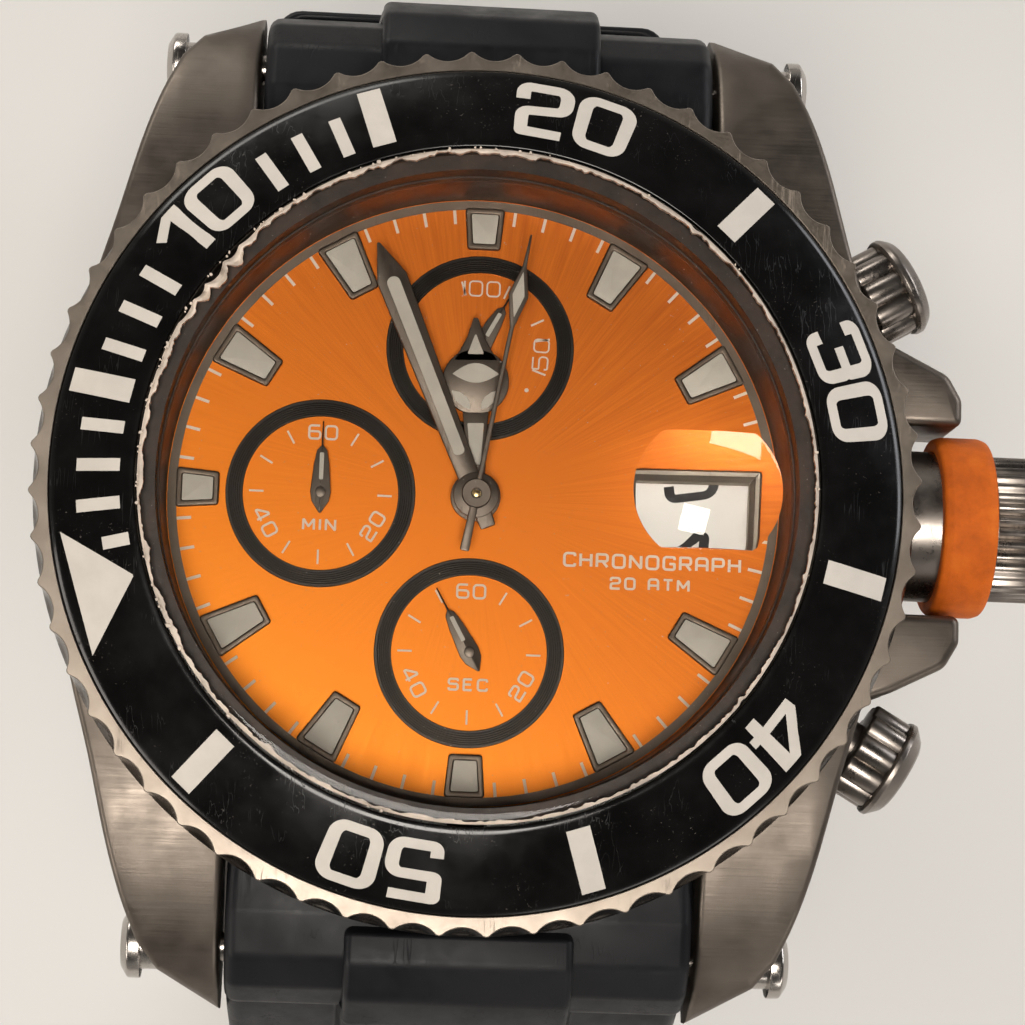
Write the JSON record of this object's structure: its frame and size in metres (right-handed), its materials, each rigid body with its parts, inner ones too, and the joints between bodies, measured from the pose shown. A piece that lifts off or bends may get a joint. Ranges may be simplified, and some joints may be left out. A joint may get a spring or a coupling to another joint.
{
  "type": "dive watch",
  "caption": "Diver's chronograph wristwatch standing on its unbuckled rubber strap, with a rotating bezel, date lens, crown, push buttons and pin buckle.",
  "frame": {"origin": "centre of the case back's outer face, on the dial axis", "axes": "+Z out through the dial, +Y towards 12 o'clock, +X towards 3 o'clock and the crown"},
  "size_m": [0.0571, 0.0775, 0.0743],
  "materials": {
    "case_steel": "brushed, satin",
    "bezel_steel": "polished, worn",
    "polished_steel": "polished",
    "plain_steel": "turned",
    "bezel_black": "gloss black with pale printed marks",
    "crystal_glass": "clear",
    "seal_rubber": "matt black",
    "dial_orange": "sunburst satin orange",
    "dark_metal": "dark polished",
    "white_print": "matt white",
    "holder_plastic": "moulded",
    "brass": "turned",
    "coil_wire": "enamelled copper wire",
    "board_green": "solder resist",
    "crown_rubber": "matt orange",
    "strap_rubber": "semi-gloss black polyurethane"
  },
  "bodies": {
    "case": {"case_middle": "case_steel", "case_back": "case_steel", "crystal": "crystal_glass", "date_lens": "crystal_glass", "strap_bar_12": "polished_steel", "strap_screw_12": "polished_steel", "strap_bar_6": "polished_steel", "strap_screw_6": "polished_steel", "case_back_gasket": "seal_rubber", "crystal_gasket": "seal_rubber", "inner_ring": "polished_steel", "dial": "dial_orange", "subdial_ring_12": "dark_metal", "subdial_ring_6": "dark_metal", "subdial_ring_9": "dark_metal", "date_frame": "dark_metal", "hour_markers": "polished_steel", "movement_holder": "holder_plastic", "main_plate": "brass", "train_bridge": "plain_steel", "circuit_board": "board_green", "battery": "plain_steel", "drive_coil": "coil_wire", "coil_core": "plain_steel", "quartz_can": "plain_steel", "bezel_retaining_wire": "plain_steel", "bezel_click_spring": "plain_steel", "crown_tube": "plain_steel", "button_tube_upper": "plain_steel", "button_tube_lower": "plain_steel", "button_spring_upper": "plain_steel", "button_spring_lower": "plain_steel"},
    "bezel": {"bezel_ring": "bezel_steel", "bezel_insert": "bezel_black"},
    "minute": {"minute_hand": "dark_metal", "cannon_pinion": "brass"},
    "hour": {"hour_hand": "dark_metal", "hour_wheel": "brass"},
    "small_seconds": {"small_seconds_hand": "dark_metal", "small_seconds_wheel": "brass"},
    "date_ring": {"date_wheel": "white_print"},
    "chrono_seconds": {"chrono_seconds_hand": "dark_metal", "chrono_wheel": "brass"},
    "minute_counter": {"minute_counter_hand": "dark_metal", "minute_counter_wheel": "brass"},
    "fraction_counter": {"fraction_counter_hand": "dark_metal", "fraction_counter_wheel": "brass"},
    "crown_slide": {"crown_gasket": "seal_rubber"},
    "crown_turn": {"crown": "polished_steel", "crown_grip_ring": "crown_rubber", "winding_stem": "plain_steel"},
    "button_up": {"button_upper": "polished_steel"},
    "button_low": {"button_lower": "polished_steel"},
    "strap_12": {"strap_buckle_half": "strap_rubber", "buckle_pin": "polished_steel"},
    "keeper": {"sliding_keeper": "strap_rubber"},
    "buckle": {"buckle_frame": "polished_steel"},
    "tongue": {"buckle_tongue": "polished_steel"},
    "strap_6": {"strap_hole_half": "strap_rubber"}
  },
  "joints": [
    {"name": "bezel_turn", "type": "hinge", "parent": "case", "child": "bezel", "pos_m": [0, 0, 0.0125], "axis": [0, 0, 1], "continuous": true},
    {"name": "minute_turn", "type": "hinge", "parent": "case", "child": "minute", "pos_m": [0, 0, 0.0101], "axis": [0, 0, -1], "continuous": true},
    {"name": "hour_turn", "type": "hinge", "parent": "case", "child": "hour", "pos_m": [0, 0, 0.0095], "axis": [0, 0, -1], "continuous": true},
    {"name": "small_seconds_turn", "type": "hinge", "parent": "case", "child": "small_seconds", "pos_m": [0, -0.00855, 0.0088], "axis": [0, 0, -1], "continuous": true},
    {"name": "date_turn", "type": "hinge", "parent": "case", "child": "date_ring", "pos_m": [0, 0, 0.00727], "axis": [0, 0, -1], "continuous": true},
    {"name": "chrono_seconds_turn", "type": "hinge", "parent": "case", "child": "chrono_seconds", "pos_m": [0, 0, 0.0108], "axis": [0, 0, -1], "continuous": true},
    {"name": "minute_counter_turn", "type": "hinge", "parent": "case", "child": "minute_counter", "pos_m": [-0.00855, 0, 0.0088], "axis": [0, 0, -1], "continuous": true},
    {"name": "fraction_counter_turn", "type": "hinge", "parent": "case", "child": "fraction_counter", "pos_m": [0, 0.00855, 0.0088], "axis": [0, 0, -1], "continuous": true},
    {"name": "crown_pull", "type": "slide", "parent": "case", "child": "crown_slide", "axis": [1, 0, 0], "range_m": [0, 0.0015]},
    {"name": "crown_turn", "type": "hinge", "parent": "crown_slide", "child": "crown_turn", "pos_m": [0.028, 0, 0.0049], "axis": [1, 0, 0], "continuous": true},
    {"name": "button_upper_press", "type": "slide", "parent": "case", "child": "button_up", "axis": [-0.866, -0.5, 0], "range_m": [0, 0.0009], "stiffness_N_per_m": 1500},
    {"name": "button_lower_press", "type": "slide", "parent": "case", "child": "button_low", "axis": [-0.866, 0.5, 0], "range_m": [0, 0.0009], "stiffness_N_per_m": 1500},
    {"name": "strap_buckle_half_swing", "type": "hinge", "parent": "case", "child": "strap_12", "pos_m": [0, 0.025, 0.0049], "axis": [1, 0, 0], "range_deg": [0, 30]},
    {"name": "strap_hole_half_swing", "type": "hinge", "parent": "case", "child": "strap_6", "pos_m": [0, -0.025, 0.0049], "axis": [-1, 0, 0], "range_deg": [0, 30]},
    {"name": "keeper_slide", "type": "slide", "parent": "strap_12", "child": "keeper", "axis": [0, 0.0275, -0.9996], "range_m": [-0.0045, 0.0014]},
    {"name": "buckle_swing", "type": "hinge", "parent": "strap_12", "child": "buckle", "pos_m": [0, 0.01856, -0.05597], "axis": [1, 0, 0], "range_deg": [-60, 40]},
    {"name": "tongue_swing", "type": "hinge", "parent": "buckle", "child": "tongue", "pos_m": [0, 0.01856, -0.05597], "axis": [1, 0, 0], "range_deg": [0, 65]}
  ],
  "couplings": [
    {"joint": "hour_turn", "follows": "minute_turn", "ratio": 0.083333},
    {"joint": "small_seconds_turn", "follows": "minute_turn", "ratio": 60},
    {"joint": "date_turn", "follows": "minute_turn", "ratio": -0.0013441},
    {"joint": "minute_counter_turn", "follows": "chrono_seconds_turn", "ratio": 0.016667},
    {"joint": "fraction_counter_turn", "follows": "chrono_seconds_turn", "ratio": 60}
  ]
}
